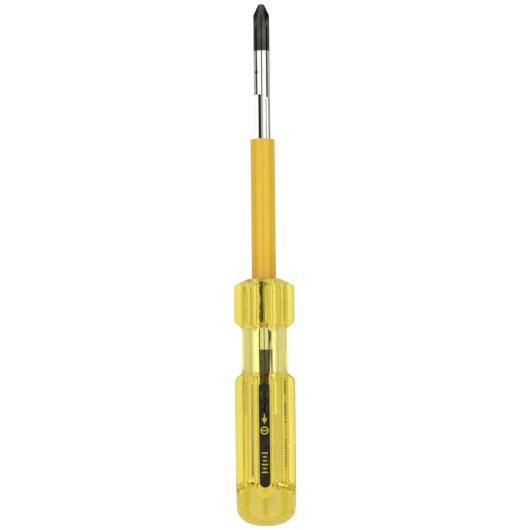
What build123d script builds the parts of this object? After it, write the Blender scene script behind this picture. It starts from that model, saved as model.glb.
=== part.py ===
"""Reversible-blade screwdriver: a fluted clear handle, a double-ended blade and its sleeve.

The tool lies along X with its cross-point tip towards +X and its label facing +Z. While it is
being modelled the tool's own axis is the X axis and the mouth of the handle is at x = 0. The last
step lays the finished tool on the floor, with the origin under the middle of its bounding box.
"""

import os
from math import radians, tan

from build123d import *

CUT_OVERRUN = 1.0  # how far a cutter runs past the surface that it starts or ends at

# Handle: stations are distances behind its mouth, and radii are from the tool's axis.
MOUTH_RADIUS = 5.7
COLLAR_RADIUS = 11.12
COLLAR_START = 2.6
COLLAR_START_ROUND = 1.8
COLLAR_END = 16.3
COLLAR_END_ROUND = 2.5
NECK_START = 18.32
NECK_START_ROUND = 1.2
NECK_START_RADIUS = 8.18
NECK_END = 34.65
NECK_END_ROUND = 0.6
NECK_END_RADIUS = 8.32
BODY_START = 37.02
BODY_START_ROUND = 2.0
BODY_START_RADIUS = 11.14
BODY_END_RADIUS = 11.02
HANDLE_LENGTH = 90.7
CROWN_RADIUS = 20.0
BUTT_ROUND = 6.2

# Flutes: six grooves with a flat floor and sloping walls.
FLUTE_COUNT = 6
FLUTE_FLOOR = 7.85
FLUTE_FLOOR_HALF_WIDTH = 2.35
FLUTE_FLOOR_ROUND = 0.5
FLUTE_WALL_SPREAD = 0.42
FLUTE_END = 75.8
FLUTE_RUN_OUT = 3.0
FLUTE_CUTTER_TOP = 12.0

# Blade: one round rod with a cross-point tip outside and a slotted tip inside the handle.
BLADE_LENGTH = 150.0
ROD_RADIUS = 3.0
SEAT_GAP = 0.1
CROSS_END_RADIUS = 1.15
CROSS_CONE_LENGTH = 4.0
CROSS_ROOT_RADIUS = 0.95
CROSS_ROOT_ANGLE = 5.75
CROSS_ROOT_ROUND = 0.3
CROSS_FLUTE_ANGLE = 92.0
CROSS_FLUTE_DEPTH = 4.0
CROSS_STRAIGHT_LENGTH = 4.5
CROSS_CUTTER_RADIUS = 9.0
CROSS_CUTTER_ARC = 60.0
SLOT_TIP_THICKNESS = 1.0
SLOT_TIP_PARALLEL = 2.0
SLOT_TIP_GROUND = 12.5
SLOT_GRIND_CLEAR = 0.2

# Ears: the rod is pinched beside each end of the sleeve, which raises two ears that stop it turning.
EAR_LENGTH = 16.2
PINCH_ANGLE = -35.0
PINCH_FLOOR = 1.7
PINCH_PUNCH_RADIUS = 5.0
PINCH_UNDER_SLEEVE = 0.5
PINCH_OVAL_ACROSS = 2.9
PINCH_OVAL_TO_EARS = 2.98
EAR_AXIS_RADIUS = 1.9
EAR_CREST_RADIUS = 1.5
EAR_LEAD = 1.5
EAR_TOE_RADIUS = 0.75
EAR_CLEARANCE = 0.09

# Sleeve: an insulating tube over the middle of the rod.
SLEEVE_LENGTH = 51.0
SLEEVE_RADIUS = 4.47
SLEEVE_GRIP = 0.02
SLEEVE_EDGE_ROUND = 0.25

# Bore: the blade slides into it, and its two key slots take the ears.
BORE_RADIUS = ROD_RADIUS + 0.08
BORE_DEPTH = 49.6
KEY_SLOT_DEPTH = 16.8

# Label: a stamped foil in the top flute, with symbols left open in it.
FOIL_THICKNESS = 0.05
LABEL_START = 38.2
LABEL_LENGTH = 37.25
LABEL_WIDTH = 4.0
LABEL_STROKE = 0.42
ICON_RADIUS = 1.45
ICON_GAP = 0.13
CROSS_ICON = 42.0
SLOT_ICON = 54.8
ARROW_CENTRE = 48.4
ARROW_LENGTH = 8.0
ARROW_HEAD = 2.0
SIZE_BAR_START = 62.9
SIZE_BAR_PITCH = 1.4
SIZE_BAR_LENGTHS = [2.2, 1.4, 1.4, 2.2, 1.4, 2.2]

# Side marks: short printed bars on the outer half of the flutes on either side of the label.
SIDE_BAR_WIDTH = 0.45
SIDE_BAR_LENGTH = 1.3
SIDE_BAR_OFFSET = 1.25
SIDE_BAR_PITCH = 1.05
SIDE_ROWS = [(37.7, 5), (45.85, 7), (58.9, 10)]

blade_tip_x = BLADE_LENGTH / 2 + SLEEVE_LENGTH / 2 + SEAT_GAP
blade_inner_x = blade_tip_x - BLADE_LENGTH
blade_middle_x = blade_tip_x - BLADE_LENGTH / 2


def about_axis(shape, angle):
    """Turn a shape about the tool's axis."""
    return Rot(angle, 0, 0) * shape


def rounded(face, corners):
    """Round some corners of an outline: each entry is (point, radius)."""
    for point, radius in corners:
        vertex = face.vertices().sort_by_distance((point[0], point[1], 0))[0]
        face = fillet(vertex, radius)
    return face


def handle_blank():
    """The handle before anything is cut from it: a turned outline, closed by a shallow crown."""
    crown_centre = CROWN_RADIUS - HANDLE_LENGTH
    crown_corner = (crown_centre - (CROWN_RADIUS**2 - BODY_END_RADIUS**2) ** 0.5, BODY_END_RADIUS)
    collar_start = (-COLLAR_START, COLLAR_RADIUS)
    collar_end = (-COLLAR_END, COLLAR_RADIUS)
    neck_start = (-NECK_START, NECK_START_RADIUS)
    neck_end = (-NECK_END, NECK_END_RADIUS)
    body_start = (-BODY_START, BODY_START_RADIUS)
    side = Polyline(
        (0, 0), (0, MOUTH_RADIUS), collar_start, collar_end, neck_start, neck_end, body_start, crown_corner
    )
    crown = RadiusArc(crown_corner, (-HANDLE_LENGTH, 0), -CROWN_RADIUS)
    axis_line = Line((-HANDLE_LENGTH, 0), (0, 0))
    outline = rounded(
        make_face([side, crown, axis_line]),
        [
            (collar_start, COLLAR_START_ROUND),
            (collar_end, COLLAR_END_ROUND),
            (neck_start, NECK_START_ROUND),
            (neck_end, NECK_END_ROUND),
            (body_start, BODY_START_ROUND),
            (crown_corner, BUTT_ROUND),
        ],
    )
    return revolve(outline, Axis.X)


def flute_plan(height):
    """The flute's outline, seen from outside, at a height above the tool's axis."""
    rise = height - FLUTE_FLOOR
    half_width = FLUTE_FLOOR_HALF_WIDTH + FLUTE_WALL_SPREAD * rise
    end_centre = FLUTE_FLOOR_HALF_WIDTH - FLUTE_END
    end_reach = FLUTE_FLOOR_HALF_WIDTH + FLUTE_RUN_OUT * rise / (COLLAR_RADIUS - FLUTE_FLOOR)
    sides = Polyline(
        (end_centre, half_width),
        (CUT_OVERRUN, half_width),
        (CUT_OVERRUN, -half_width),
        (end_centre, -half_width),
    )
    end = EllipticalCenterArc((end_centre, 0), end_reach, half_width, start_angle=90, arc_size=180)
    return Location((0, 0, height)) * make_face([sides, end])


def flute_cutter():
    """One flute at the top of the handle, rounded where its walls meet its floor."""
    cutter = loft([flute_plan(FLUTE_FLOOR), flute_plan(FLUTE_CUTTER_TOP)], ruled=True)
    floor_edges = cutter.edges().group_by(Axis.Z)[0].sort_by(Axis.X)[:-1]
    return fillet(floor_edges, FLUTE_FLOOR_ROUND)


def key_slot():
    """The slot beside the bore that takes one ear, at the top of the handle."""
    slot = Cylinder(EAR_CREST_RADIUS + EAR_CLEARANCE, KEY_SLOT_DEPTH, rotation=(0, 90, 0))
    return Location((-KEY_SLOT_DEPTH / 2, 0, EAR_AXIS_RADIUS)) * slot


def make_handle():
    bore = Location((-BORE_DEPTH / 2, 0, 0)) * Cylinder(BORE_RADIUS, BORE_DEPTH, rotation=(0, 90, 0))
    cutter = flute_cutter()
    handle = handle_blank() - bore
    for number in range(FLUTE_COUNT):
        handle -= about_axis(cutter, number * 360 / FLUTE_COUNT)
    for side in (90, -90):
        handle -= about_axis(key_slot(), PINCH_ANGLE + side)
    return handle


def cross_flute():
    """The cutter for one flute of the cross point: a straight run, then a curved run-out."""
    half_width = CROSS_FLUTE_DEPTH * tan(radians(CROSS_FLUTE_ANGLE / 2))
    groove = make_face(
        Polyline((0, 0), (half_width, CROSS_FLUTE_DEPTH), (-half_width, CROSS_FLUTE_DEPTH), close=True)
    )
    groove = rounded(groove, [((0, 0), CROSS_ROOT_ROUND)])
    straight = Location((0, 0, -CUT_OVERRUN)) * extrude(groove, CROSS_STRAIGHT_LENGTH + CUT_OVERRUN)
    end = Location((0, 0, CROSS_STRAIGHT_LENGTH)) * groove
    centre = Axis((0, CROSS_CUTTER_RADIUS, CROSS_STRAIGHT_LENGTH), (-1, 0, 0))
    run_out = revolve(end, centre, revolution_arc=CROSS_CUTTER_ARC)
    cutter = Rot(-CROSS_ROOT_ANGLE, 0, 0) * (straight + run_out)
    tip_plane = Plane(origin=(blade_tip_x, 0, CROSS_ROOT_RADIUS), x_dir=(0, -1, 0), z_dir=(-1, 0, 0))
    return tip_plane.location * cutter


def slot_flat():
    """The cutter for one ground side of the slotted tip: a parallel end, then a hollow grind."""
    half_thickness = SLOT_TIP_THICKNESS / 2
    parallel_end = (blade_inner_x + SLOT_TIP_PARALLEL, half_thickness)
    grind_end = (blade_inner_x + SLOT_TIP_GROUND, ROD_RADIUS + SLOT_GRIND_CLEAR)
    start_x = blade_inner_x - CUT_OVERRUN
    flat = Line((start_x, half_thickness), parallel_end)
    grind = TangentArc(parallel_end, grind_end, tangent=(1, 0))
    rest = Polyline(grind_end, (start_x, grind_end[1]), (start_x, half_thickness))
    side_view = Plane.XZ * make_face([flat, grind, rest])
    return extrude(side_view, ROD_RADIUS + CUT_OVERRUN, both=True)


def pinch(end):
    """What squeezing takes away beside one end of the sleeve, with the punches above and below.

    Two round-nosed punches leave a groove each, and the section between them turns slightly oval.
    """
    length = EAR_LENGTH + PINCH_UNDER_SLEEVE
    middle = SLEEVE_LENGTH / 2 - PINCH_UNDER_SLEEVE + length / 2
    oval = extrude(Ellipse(PINCH_OVAL_ACROSS, PINCH_OVAL_TO_EARS), length / 2, both=True)
    taken = Cylinder(ROD_RADIUS + CUT_OVERRUN, length) - oval
    punch = Cylinder(PINCH_PUNCH_RADIUS, length)
    for side in (1, -1):
        taken += Location((side * (PINCH_FLOOR + PINCH_PUNCH_RADIUS), 0, 0)) * punch
    return Location((blade_middle_x + end * middle, 0, 0)) * Rot(0, -90, 0) * taken


def ear(end):
    """One raised ear beside one end of the sleeve, at the top: a round crest with sloping ends."""
    near = SLEEVE_LENGTH / 2
    far = near + EAR_LENGTH
    outline = make_face(
        Polyline(
            (near, 0),
            (near, EAR_CREST_RADIUS),
            (far - EAR_LEAD, EAR_CREST_RADIUS),
            (far, EAR_TOE_RADIUS),
            (far, 0),
            close=True,
        )
    )
    crest = revolve(outline, Axis.X)
    if end < 0:
        crest = mirror(crest, Plane.YZ)
    return Location((blade_middle_x, 0, EAR_AXIS_RADIUS)) * crest


def make_blade():
    cone_start = blade_tip_x - CROSS_CONE_LENGTH
    outline = make_face(
        Polyline(
            (blade_inner_x, 0),
            (blade_inner_x, ROD_RADIUS),
            (cone_start, ROD_RADIUS),
            (blade_tip_x, CROSS_END_RADIUS),
            (blade_tip_x, 0),
            close=True,
        )
    )
    blade = revolve(outline, Axis.X)
    for quarter in range(4):
        blade -= about_axis(cross_flute(), 45 + 90 * quarter)
    for side in (0, 180):
        blade -= about_axis(slot_flat(), side)
    for end in (1, -1):
        blade -= about_axis(pinch(end), PINCH_ANGLE)
        for side in (90, -90):
            blade += about_axis(ear(end), PINCH_ANGLE + side)
    return blade


def make_sleeve():
    tube = Cylinder(SLEEVE_RADIUS, SLEEVE_LENGTH) - Cylinder(ROD_RADIUS - SLEEVE_GRIP, SLEEVE_LENGTH)
    rims = tube.edges().filter_by(GeomType.CIRCLE).sort_by(SortBy.RADIUS)[-2:]
    tube = fillet(rims, SLEEVE_EDGE_ROUND)
    return Location((blade_middle_x, 0, 0)) * Rot(0, 90, 0) * tube


def ring_icon(station, bars):
    """A screw head seen from above: a ring with one bar or two crossed bars in it."""
    ring = Circle(ICON_RADIUS) - Circle(ICON_RADIUS - LABEL_STROKE)
    bar_length = 2 * (ICON_RADIUS - LABEL_STROKE - ICON_GAP)
    for number in range(bars):
        ring += Rot(0, 0, 90 * number) * Rectangle(LABEL_STROKE, bar_length)
    return Location((-station, 0)) * ring


def double_arrow():
    """A double-headed arrow along the flute: the blade can be turned end for end."""
    shaft = Rectangle(ARROW_LENGTH - ARROW_HEAD, LABEL_STROKE)
    head_base = ARROW_LENGTH / 2 - ARROW_HEAD
    half_head = ARROW_HEAD / 2
    head = make_face(
        Polyline((head_base, -half_head), (ARROW_LENGTH / 2, 0), (head_base, half_head), close=True)
    )
    return Location((-ARROW_CENTRE, 0)) * (shaft + head + Rot(0, 0, 180) * head)


def make_front_label():
    """Foil with a square front end and a round rear end, with the symbols left open."""
    end_radius = LABEL_WIDTH / 2
    straight = LABEL_LENGTH - end_radius
    strip = Location((-LABEL_START - straight / 2, 0)) * Rectangle(straight, LABEL_WIDTH)
    strip += Location((-LABEL_START - straight, 0)) * Circle(end_radius)
    strip -= ring_icon(CROSS_ICON, 2)
    strip -= double_arrow()
    strip -= ring_icon(SLOT_ICON, 1)
    for number, length in enumerate(SIZE_BAR_LENGTHS):
        station = SIZE_BAR_START + number * SIZE_BAR_PITCH
        strip -= Location((-station, 0)) * Rectangle(LABEL_STROKE, length)
    return Location((0, 0, FLUTE_FLOOR)) * extrude(strip, FOIL_THICKNESS)


def make_side_marks():
    """Rows of printed bars on the floors of the flutes on either side of the label."""
    bars = []
    height = FLUTE_FLOOR + FOIL_THICKNESS / 2
    for side in (1, -1):
        for start, count in SIDE_ROWS:
            for number in range(count):
                station = start + number * SIDE_BAR_PITCH
                bar = Box(SIDE_BAR_WIDTH, SIDE_BAR_LENGTH, FOIL_THICKNESS)
                placed = Location((-station, side * SIDE_BAR_OFFSET, height)) * bar
                bars.append(about_axis(placed, -side * 360 / FLUTE_COUNT))
    return Compound(children=bars)


def main():
    nodes = {
        "handle": make_handle(),
        "front_label": make_front_label(),
        "side_marks": make_side_marks(),
        "blade": make_blade(),
        "sleeve": make_sleeve(),
    }
    handle_bottom = nodes["handle"].bounding_box().min.Z
    middle_x = (blade_tip_x - HANDLE_LENGTH) / 2
    on_floor = Location((-middle_x, 0, -handle_bottom))
    os.makedirs("parts", exist_ok=True)
    for name, shape in nodes.items():
        export_step(on_floor * shape, f"parts/{name}.step")
    print("axis height", -handle_bottom, "mouth x", -middle_x)


main()
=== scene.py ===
"""A reversible-blade screwdriver, put together from its blade outwards, and then its studio."""

from math import atan2, cos, pi, radians, sin, sqrt

import bpy
from mathutils import Matrix, Vector


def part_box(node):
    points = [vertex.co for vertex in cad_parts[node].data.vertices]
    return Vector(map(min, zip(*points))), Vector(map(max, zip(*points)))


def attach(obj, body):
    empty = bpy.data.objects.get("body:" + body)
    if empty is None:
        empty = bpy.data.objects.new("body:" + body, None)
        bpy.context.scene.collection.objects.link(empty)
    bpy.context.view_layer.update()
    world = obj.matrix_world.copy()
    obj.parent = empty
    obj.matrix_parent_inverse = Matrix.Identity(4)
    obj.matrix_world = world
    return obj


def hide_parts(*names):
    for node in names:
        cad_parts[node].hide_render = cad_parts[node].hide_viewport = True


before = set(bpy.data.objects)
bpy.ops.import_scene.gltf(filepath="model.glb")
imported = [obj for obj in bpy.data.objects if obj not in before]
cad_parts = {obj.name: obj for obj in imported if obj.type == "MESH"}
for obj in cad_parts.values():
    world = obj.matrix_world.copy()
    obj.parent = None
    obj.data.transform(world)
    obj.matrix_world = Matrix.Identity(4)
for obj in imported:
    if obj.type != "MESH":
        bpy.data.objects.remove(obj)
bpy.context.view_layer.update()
bpy.ops.object.select_all(action="DESELECT")

# ---- Blade
# One steel rod, cross point at one end and flat tip at the other. It is bright plated and
# polished round and round, and both working ends are dipped in black oxide over the plating.
MM = 0.001
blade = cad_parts["blade"]
blade_low, blade_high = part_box("blade")
axis_height = (blade_low.z + blade_high.z) / 2
OUTER_OXIDE = 17.2 * MM
INNER_OXIDE = 23.5 * MM
OXIDE_EDGE = 0.2 * MM
PIT_FROM_TIP = 25.1 * MM
PIT_ASIDE = 1.9 * MM
PIT_SIZE = 0.8 * MM


class Wire:
    """A socket of a shader tree. Sums on it add Math nodes, and node() adds any other node."""

    def __init__(self, tree, socket=None):
        self.tree = tree
        self.socket = socket

    def node(self, kind, settings, sockets, output=0):
        """Add a node: its settings first, then the value or the wire of each of its sockets."""
        new = self.tree.nodes.new(kind)
        for name, value in settings.items():
            setattr(new, name, value)
        for name, value in sockets.items():
            if isinstance(value, Wire):
                self.tree.links.new(value.socket, new.inputs[name])
            else:
                new.inputs[name].default_value = value
        return Wire(self.tree, new.outputs[output])

    def math(self, operation, *terms):
        return self.node("ShaderNodeMath", {"operation": operation}, dict(enumerate(terms)))

    def __add__(self, other):
        return self.math("ADD", self, other)

    def __radd__(self, other):
        return self.math("ADD", other, self)

    def __sub__(self, other):
        return self.math("SUBTRACT", self, other)

    def __rsub__(self, other):
        return self.math("SUBTRACT", other, self)

    def __mul__(self, other):
        return self.math("MULTIPLY", self, other)

    def __rmul__(self, other):
        return self.math("MULTIPLY", other, self)

    def __pow__(self, other):
        return self.math("POWER", self, other)

    def __abs__(self):
        return self.math("ABSOLUTE", self)

    def most(self, other):
        return self.math("MAXIMUM", self, other)

    def rises(self, start, end):
        """0 before start, 1 past end, and smooth between them. It falls where end is below start."""
        ranges = {"From Min": start, "From Max": end, "Value": self}
        return self.node("ShaderNodeMapRange", {"interpolation_type": "SMOOTHSTEP"}, ranges)

    def mix(self, first, second):
        """The colour first where this is 0, and second where it is 1."""
        return self.node("ShaderNodeMixRGB", {}, {"Fac": self, "Color1": first, "Color2": second})

    def axes(self):
        split = self.node("ShaderNodeSeparateXYZ", {}, {"Vector": self})
        return [Wire(self.tree, output) for output in split.socket.node.outputs]

    def grain(self, scale, stretch=(1.0, 1.0, 1.0), detail=3.0):
        """Uneven blotches, about 1 / scale metres across, drawn out where stretch is below 1."""
        drawn = self.node("ShaderNodeMapping", {}, {"Vector": self, "Scale": stretch})
        return self.node("ShaderNodeTexNoise", {}, {"Vector": drawn, "Scale": scale, "Detail": detail})

    def relief(self, strength, height):
        """The normal of a surface that this raises by up to height."""
        sockets = {"Height": self, "Strength": strength, "Distance": height}
        return self.node("ShaderNodeBump", {}, sockets)


def new_finish(name):
    """An empty material, the wire that it starts from, and the place on the piece in metres."""
    finish = bpy.data.materials.new(name)
    finish.use_nodes = True
    finish.node_tree.nodes.clear()
    start = Wire(finish.node_tree)
    return finish, start, start.node("ShaderNodeTexCoord", {}, {}, "Object")


def close_finish(start, ends):
    """Join the finished surface, and the inside of a clear one, to the material's output."""
    result = start.tree.nodes.new("ShaderNodeOutputMaterial")
    for name, wire in ends.items():
        start.tree.links.new(wire.socket, result.inputs[name])


plating, start, place = new_finish("bright_plating_and_black_oxide")
x, y, z = place.axes()
outer_dip = x.rises(blade_high.x - OUTER_OXIDE - OXIDE_EDGE, blade_high.x - OUTER_OXIDE)
inner_dip = x.rises(blade_low.x + INNER_OXIDE + OXIDE_EDGE, blade_low.x + INNER_OXIDE)
oxide = outer_dip.most(inner_dip)
polish = place.grain(900.0, (1.0, 0.12, 0.12))
cloud = place.grain(260.0)
from_pit = ((x - (blade_high.x - PIT_FROM_TIP)) ** 2 + (y - PIT_ASIDE) ** 2) ** 0.5
pit = from_pit.rises(PIT_SIZE, PIT_SIZE * 0.4) * z.rises(axis_height, axis_height + MM)
bright = cloud.mix((0.52, 0.505, 0.48, 1.0), (0.66, 0.645, 0.61, 1.0))
pitted = pit.mix(bright, (0.10, 0.08, 0.06, 1.0))
black = cloud.rises(0.35, 0.7).mix((0.038, 0.036, 0.033, 1.0), (0.072, 0.066, 0.060, 1.0))
surface = start.node("ShaderNodeBsdfPrincipled", {}, {
    "Base Color": oxide.mix(pitted, black),
    "Metallic": 1.0,
    "Roughness": 0.03 + polish * 0.04 + oxide * 0.1,
    "Normal": polish.relief(0.12, 0.01 * MM),
})
close_finish(start, {"Surface": surface})
blade.material_slots[0].material = plating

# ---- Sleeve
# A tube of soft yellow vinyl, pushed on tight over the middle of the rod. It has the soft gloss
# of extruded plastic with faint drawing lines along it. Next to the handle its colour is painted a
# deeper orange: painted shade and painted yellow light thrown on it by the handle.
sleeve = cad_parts["sleeve"]
sleeve_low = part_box("sleeve")[0]
PAINTED_COLLAR_REACH = 16.0 * MM
vinyl, start, place = new_finish("yellow_vinyl")
x, y, z = place.axes()
drawn = place.grain(1400.0, (0.04, 1.0, 1.0))
mottle = place.grain(120.0)
yellow = mottle.mix((0.52, 0.325, 0.006, 1.0), (0.57, 0.36, 0.009, 1.0))
# Painted shade and painted light from the handle: the colour turns deeper orange over the last 16 mm
# before the collar.
painted_collar_shade_and_glow = x.rises(sleeve_low.x + PAINTED_COLLAR_REACH, sleeve_low.x) * 0.6
surface = start.node("ShaderNodeBsdfPrincipled", {}, {
    "Base Color": painted_collar_shade_and_glow.mix(yellow, (0.52, 0.27, 0.004, 1.0)),
    "Roughness": 0.17 + drawn * 0.1,
    "Normal": drawn.relief(0.06, 0.02 * MM),
})
close_finish(start, {"Surface": surface})
sleeve.material_slots[0].material = vinyl

# ---- Handle
# One moulding of clear yellow cellulose acetate: a collar, a turned-down neck, a body with a
# crowned butt, and six flutes. The blade's bore and its two key slots are moulded in the front.
mouth_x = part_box("handle")[1].x
tool_axis = (0, 0, axis_height)
MOUTH_RADIUS = 5.7 * MM
BODY_END_RADIUS = 11.02 * MM
COLLAR_RADIUS = 11.12 * MM
HANDLE_LENGTH = 90.7 * MM
CROWN_RADIUS = 20.0 * MM
BUTT_ROUND = 6.2 * MM
STATIONS = [  # how far behind the mouth, the radius there, and the round at that corner
    (2.6 * MM, COLLAR_RADIUS, 1.8 * MM),
    (16.3 * MM, COLLAR_RADIUS, 2.5 * MM),
    (18.32 * MM, 8.18 * MM, 1.2 * MM),
    (34.65 * MM, 8.32 * MM, 0.6 * MM),
    (37.02 * MM, 11.14 * MM, 2.0 * MM),
]
CORNER_SHARE = 0.5  # how much of a round is cut from each side of its corner
SAME_PLACE = 0.001 * MM


def select_only(piece):
    bpy.ops.object.select_all(action="DESELECT")
    piece.select_set(True)
    bpy.context.view_layer.objects.active = piece


def pick(piece, kind, test):
    """In edit mode, select only the vertices, or the edges with both ends, that pass the test."""
    bpy.ops.object.mode_set(mode="OBJECT")
    mesh = piece.data
    for group in (mesh.vertices, mesh.edges, mesh.polygons):
        for item in group:
            item.select = False
    if kind == "VERT":
        for vertex in mesh.vertices:
            vertex.select = test(vertex.co)
    else:
        for edge in mesh.edges:
            edge.select = all(test(mesh.vertices[end].co) for end in edge.vertices)
    bpy.ops.object.mode_set(mode="EDIT")
    bpy.ops.mesh.select_mode(type=kind)


def draw_on(last, distance, radius):
    """Extrude the open end of the handle to a new distance behind the mouth, at a new radius."""
    step = (last[0] - distance, 0, 0)
    scale = radius / last[1]
    bpy.ops.mesh.extrude_region_move(TRANSFORM_OT_translate={"value": step})
    bpy.ops.transform.resize(value=(1, scale, scale), center_override=tool_axis)
    return distance, radius


def face_outwards():
    bpy.ops.mesh.select_all(action="SELECT")
    bpy.ops.mesh.normals_make_consistent(inside=False)
    bpy.ops.object.mode_set(mode="OBJECT")


def cut_with(piece, tool):
    select_only(piece)
    cut = piece.modifiers.new("cut", "BOOLEAN")
    cut.operation = "DIFFERENCE"
    cut.solver = "EXACT"
    cut.object = tool
    bpy.ops.object.modifier_apply(modifier="cut")


bpy.ops.mesh.primitive_circle_add(vertices=128, radius=MOUTH_RADIUS, fill_type="NGON",
                                  location=(mouth_x, 0, axis_height), rotation=(0, pi / 2, 0))
handle = bpy.context.object
handle.name = "handle_moulding"
bpy.ops.object.transform_apply()
bpy.ops.object.mode_set(mode="EDIT")
last = (0.0, MOUTH_RADIUS)
for distance, radius, corner in STATIONS:
    last = draw_on(last, distance, radius)

# The butt: a round corner that runs into a shallow crown.
ROUND_STEPS = 10
CROWN_STEPS = 6
crown_centre = HANDLE_LENGTH - CROWN_RADIUS
round_height = BODY_END_RADIUS - BUTT_ROUND
round_centre = crown_centre + sqrt((CROWN_RADIUS - BUTT_ROUND) ** 2 - round_height ** 2)
meeting = atan2(round_height, round_centre - crown_centre)
for step in range(ROUND_STEPS + 1):
    turned = pi / 2 - (pi / 2 - meeting) * step / ROUND_STEPS
    last = draw_on(last, round_centre + BUTT_ROUND * cos(turned),
                   round_height + BUTT_ROUND * sin(turned))
for step in range(1, CROWN_STEPS):
    turned = meeting * (1 - step / CROWN_STEPS)
    last = draw_on(last, crown_centre + CROWN_RADIUS * cos(turned), CROWN_RADIUS * sin(turned))
last = draw_on(last, HANDLE_LENGTH, last[1])
bpy.ops.mesh.merge(type="CENTER")
for distance, radius, corner in STATIONS:
    pick(handle, "EDGE", lambda spot: abs(spot.x - (mouth_x - distance)) < SAME_PLACE)
    bpy.ops.mesh.bevel(offset=corner * CORNER_SHARE, segments=6, affect="EDGES")
face_outwards()

# The flutes: a cutter with a round inner end and sloping walls, carried round six times.
FLUTES = 6
FLUTE_FLOOR = 7.85 * MM
FLUTE_HALF_WIDTH = 2.35 * MM
FLUTE_END = 75.8 * MM
FLUTE_SPREAD = 0.42
FLUTE_RUN_OUT = 3.0 * MM
CUTTER_HEIGHT = 5.0 * MM
CUTTER_REACH = 80.0 * MM
end_centre = mouth_x - (FLUTE_END - FLUTE_HALF_WIDTH)
end_growth = FLUTE_RUN_OUT * CUTTER_HEIGHT / (COLLAR_RADIUS - FLUTE_FLOOR)
bpy.ops.mesh.primitive_circle_add(vertices=48, radius=FLUTE_HALF_WIDTH, fill_type="NGON",
                                  location=(end_centre, 0, axis_height + FLUTE_FLOOR))
cutter = bpy.context.object
bpy.ops.object.transform_apply()
bpy.ops.object.mode_set(mode="EDIT")
bpy.ops.mesh.extrude_region_move(TRANSFORM_OT_translate={"value": (0, 0, CUTTER_HEIGHT)})
bpy.ops.transform.resize(value=(1 + end_growth / FLUTE_HALF_WIDTH,
                                1 + FLUTE_SPREAD * CUTTER_HEIGHT / FLUTE_HALF_WIDTH, 1),
                         center_override=(end_centre, 0, 0))
pick(cutter, "VERT", lambda spot: spot.x > end_centre - SAME_PLACE)
bpy.ops.transform.translate(value=(CUTTER_REACH, 0, 0))
face_outwards()
for _ in range(FLUTES):
    cut_with(handle, cutter)
    select_only(cutter)
    bpy.ops.object.mode_set(mode="EDIT")
    bpy.ops.mesh.select_all(action="SELECT")
    bpy.ops.transform.rotate(value=2 * pi / FLUTES, orient_axis="X", center_override=tool_axis)
    bpy.ops.object.mode_set(mode="OBJECT")
bpy.data.objects.remove(cutter)

# A moulding has no sharp edges: it is remade as an even skin, and that skin is relaxed.
SKIN_CELL = 0.32 * MM
select_only(handle)
skin = handle.modifiers.new("skin", "REMESH")
skin.mode = "VOXEL"
skin.voxel_size = SKIN_CELL
skin.use_smooth_shade = True
bpy.ops.object.modifier_apply(modifier="skin")
soften = handle.modifiers.new("soften", "SMOOTH")
soften.factor = 0.5
soften.iterations = 8
bpy.ops.object.modifier_apply(modifier="soften")

# The bore for the rod, and beside it the two key slots for the rod's ears.
BORE_RADIUS = 3.08 * MM
BORE_DEPTH = 49.6 * MM
KEY_RADIUS = 1.59 * MM
KEY_DEPTH = 16.8 * MM
KEY_ASIDE = 1.9 * MM
KEY_ANGLE = radians(-35)
OVERRUN = 5.0 * MM


def drill(radius, depth, aside, height):
    """Cut a round hole in the mouth, parallel to the tool's axis."""
    middle = (mouth_x + (OVERRUN - depth) / 2, aside, axis_height + height)
    bpy.ops.mesh.primitive_cylinder_add(vertices=96, radius=radius, depth=depth + OVERRUN,
                                        location=middle, rotation=(0, pi / 2, 0))
    pin = bpy.context.object
    bpy.ops.object.transform_apply()
    cut_with(handle, pin)
    bpy.data.objects.remove(pin)


drill(BORE_RADIUS, BORE_DEPTH, 0, 0)
for side in (pi / 2, -pi / 2):
    turned = KEY_ANGLE + side
    drill(KEY_RADIUS, KEY_DEPTH, -KEY_ASIDE * sin(turned), KEY_ASIDE * cos(turned))
select_only(handle)
bpy.ops.object.shade_smooth_by_angle(angle=radians(35))

NECK_FRONT = mouth_x - 18.2 * MM
NECK_BACK = mouth_x - 34.85 * MM
NECK_EDGE = 1.0 * MM
BORE_SKIN = 4.0 * MM
acetate, start, place = new_finish("clear_yellow_acetate")
x, y, z = place.axes()
from_axis = (y ** 2 + (z - axis_height) ** 2) ** 0.5
outer = from_axis.rises(BORE_SKIN, BORE_SKIN + MM)
neck = x.rises(NECK_BACK, NECK_BACK + NECK_EDGE) * x.rises(NECK_FRONT + NECK_EDGE, NECK_FRONT)
flow = place.grain(90.0, (0.3, 1.0, 1.0))
body = flow.mix((0.75, 0.655, 0.105, 1.0), (0.79, 0.69, 0.125, 1.0))
shell = neck.mix(body, (0.80, 0.77, 0.34, 1.0))
scuffs = place.grain(1500.0, (0.15, 1.0, 1.0)).rises(0.62, 0.78)
keyway = x.rises(mouth_x - KEY_DEPTH - MM, mouth_x - KEY_DEPTH) * (1 - outer)
wrinkles = place.grain(450.0, (0.5, 1.0, 1.0)) * keyway
surface = start.node("ShaderNodeBsdfPrincipled", {}, {
    "Base Color": outer.mix((1.0, 1.0, 1.0, 1.0), shell),
    "Roughness": 0.02 + scuffs * outer * 0.05 + keyway * 0.1,
    "IOR": 1.48,
    "Transmission Weight": 1.0,
    "Normal": (flow * 0.0016 + wrinkles * 0.45).relief(1.0, MM),
})
inside = {"Color": (0.9, 0.8, 0.0, 1.0), "Density": 30.0}
close_finish(start, {
    "Surface": surface,
    "Volume": start.node("ShaderNodeVolumeAbsorption", {}, inside),
})
handle.data.materials.clear()
handle.data.materials.append(acetate)
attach(handle, "handle")
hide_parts("handle")

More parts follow.
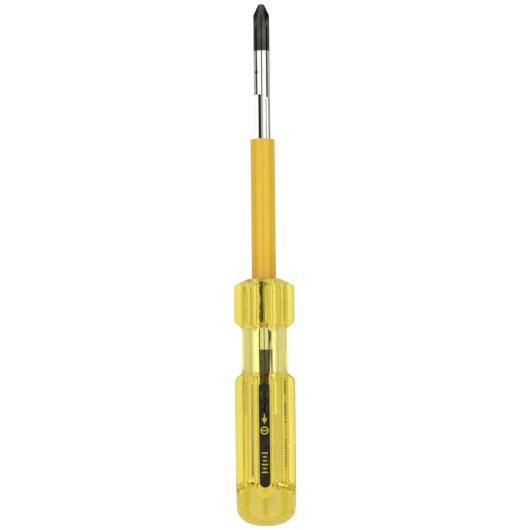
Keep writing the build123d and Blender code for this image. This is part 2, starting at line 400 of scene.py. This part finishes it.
# ---- Label
# A strip of matt black foil, hot stamped on the floor of the front flute. Its symbols are left
# open, so the clear plastic shows through them, and handling has rubbed the foil slightly grey.
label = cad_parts["front_label"]
foil, start, place = new_finish("black_foil")
rubbed = place.grain(700.0, (0.4, 1.0, 1.0))
surface = start.node("ShaderNodeBsdfPrincipled", {}, {
    "Base Color": rubbed.rises(0.4, 0.75).mix((0.008, 0.007, 0.005, 1.0), (0.026, 0.022, 0.016, 1.0)),
    "Roughness": 0.45 + rubbed * 0.2,
    "Specular IOR Level": 0.12,
    "Normal": rubbed.relief(0.1, 0.01 * MM),
})
close_finish(start, {"Surface": surface})
label.material_slots[0].material = foil

# ---- Side marks
# Short bars of thin dark print on the floors of the flutes on either side of the label. The ink
# is uneven where it wetted the plastic, and browner where it is thin.
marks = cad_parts["side_marks"]
ink, start, place = new_finish("dark_print")
wetting = place.grain(2200.0)
surface = start.node("ShaderNodeBsdfPrincipled", {}, {
    "Base Color": wetting.rises(0.35, 0.7).mix((0.05, 0.038, 0.018, 1.0), (0.12, 0.09, 0.035, 1.0)),
    "Roughness": 0.5 + wetting * 0.2,
})
close_finish(start, {"Surface": surface})
marks.material_slots[0].material = ink

# ---- Floor
# A sheet of white paper that glows a little, as paper on a light table does. What shines off
# metal sees less of that glow, so that the rod keeps its dark flanks.
FLOOR_SIDE = 1.6
bpy.ops.object.select_all(action="DESELECT")
bpy.ops.mesh.primitive_plane_add(size=FLOOR_SIDE)
floor = bpy.context.object
floor.name = "floor"
PAPER_GLOW = 0.62
GLOW_LOST_ON_METAL = 1.0
paper, start, place = new_finish("white_paper")
shine = start.node("ShaderNodeLightPath", {}, {}, "Is Glossy Ray")
through = start.node("ShaderNodeLightPath", {}, {}, "Is Transmission Ray")
fibre = place.grain(600.0)
surface = start.node("ShaderNodeBsdfPrincipled", {}, {
    "Base Color": fibre.mix((0.495, 0.495, 0.49, 1.0), (0.505, 0.505, 0.50, 1.0)),
    "Roughness": 0.9,
    "Emission Color": (1.0, 0.995, 0.98, 1.0),
    "Emission Strength": PAPER_GLOW * (1 - shine * (1 - through) * GLOW_LOST_ON_METAL),
})
close_finish(start, {"Surface": surface})
floor.data.materials.append(paper)

# ---- Lights
# Two long softboxes lean over the tool, one on each side, with a panel past each end of it.
# The room is dark overhead and paler towards both ends.
SOFTBOX_NEAR = (0.092, 0.66)
SOFTBOX_FAR = (0.82, 0.44)
SOFTBOX_LENGTH = 1.3
SOFTBOX_GLOW = 1.7
PANEL_GLOW = 0.8
PANEL_SIZE = (1.0, 0.7)
PANEL_PLACE = (0.85, 0.5)
PANEL_LEAN = 0.45


def area_light(name, length, width, glow):
    """A rectangular light of an even brightness, not yet in its place."""
    data = bpy.data.lights.new(name, "AREA")
    data.shape = "RECTANGLE"
    data.size = length
    data.size_y = width
    data.energy = glow * pi * length * width
    lamp = bpy.data.objects.new(name, data)
    bpy.context.scene.collection.objects.link(lamp)
    return lamp


for side, word in ((1, "left"), (-1, "right")):
    near = Vector((0, side * SOFTBOX_NEAR[0], SOFTBOX_NEAR[1]))
    far = Vector((0, side * SOFTBOX_FAR[0], SOFTBOX_FAR[1]))
    lamp = area_light("softbox_" + word, SOFTBOX_LENGTH, (far - near).length, SOFTBOX_GLOW)
    along = Vector((1, 0, 0))
    across = (far - near).normalized() * side
    out = along.cross(across)
    turned = Matrix((along, across, out)).transposed().to_4x4()
    lamp.matrix_world = Matrix.Translation((near + far) / 2) @ turned
for side, word in ((1, "tip"), (-1, "butt")):
    lamp = area_light("panel_" + word, PANEL_SIZE[0], PANEL_SIZE[1], PANEL_GLOW)
    lamp.location = (side * PANEL_PLACE[0], 0, PANEL_PLACE[1])
    lamp.rotation_euler = Vector((side, 0, PANEL_LEAN)).to_track_quat("Z", "Y").to_euler()

room = bpy.data.worlds.new("studio")
bpy.context.scene.world = room
room.use_nodes = True
start = Wire(room.node_tree)
along = start.node("ShaderNodeTexCoord", {}, {}, "Generated").axes()[0]
walls = abs(along).rises(0.3, 0.7).mix((0.03, 0.03, 0.03, 1.0), (0.7, 0.7, 0.7, 1.0))
room.node_tree.links.new(walls.socket, room.node_tree.nodes["Background"].inputs["Color"])

# ---- Camera
# It looks straight down on the tool with the tip at the top, turned a little about the tool's
# axis. Clear plastic needs more bounces than the usual, or the ends of the flutes go black.
CAMERA_DISTANCE = 0.441
CAMERA_ROLL = radians(-0.6)
CAMERA_ASIDE = radians(2.5)
PICTURE_SIDE = 530
lens = bpy.data.cameras.new("camera")
lens.lens = 81.5
lens.sensor_width = 36.0
lens.shift_x = 1.2 / PICTURE_SIDE
camera = bpy.data.objects.new("camera", lens)
bpy.context.scene.collection.objects.link(camera)
aside = Matrix.Rotation(CAMERA_ASIDE, 4, "X")
turned = Matrix.Rotation(-pi / 2 + CAMERA_ROLL, 4, "Z")
back = Matrix.Translation((0, 0, CAMERA_DISTANCE))
camera.matrix_world = Matrix.Translation(tool_axis) @ aside @ turned @ back
bpy.context.scene.camera = camera
bpy.context.scene.view_settings.view_transform = "Standard"
bpy.context.scene.cycles.max_bounces = 32
bpy.context.scene.cycles.glossy_bounces = 16
bpy.context.scene.cycles.transmission_bounces = 32
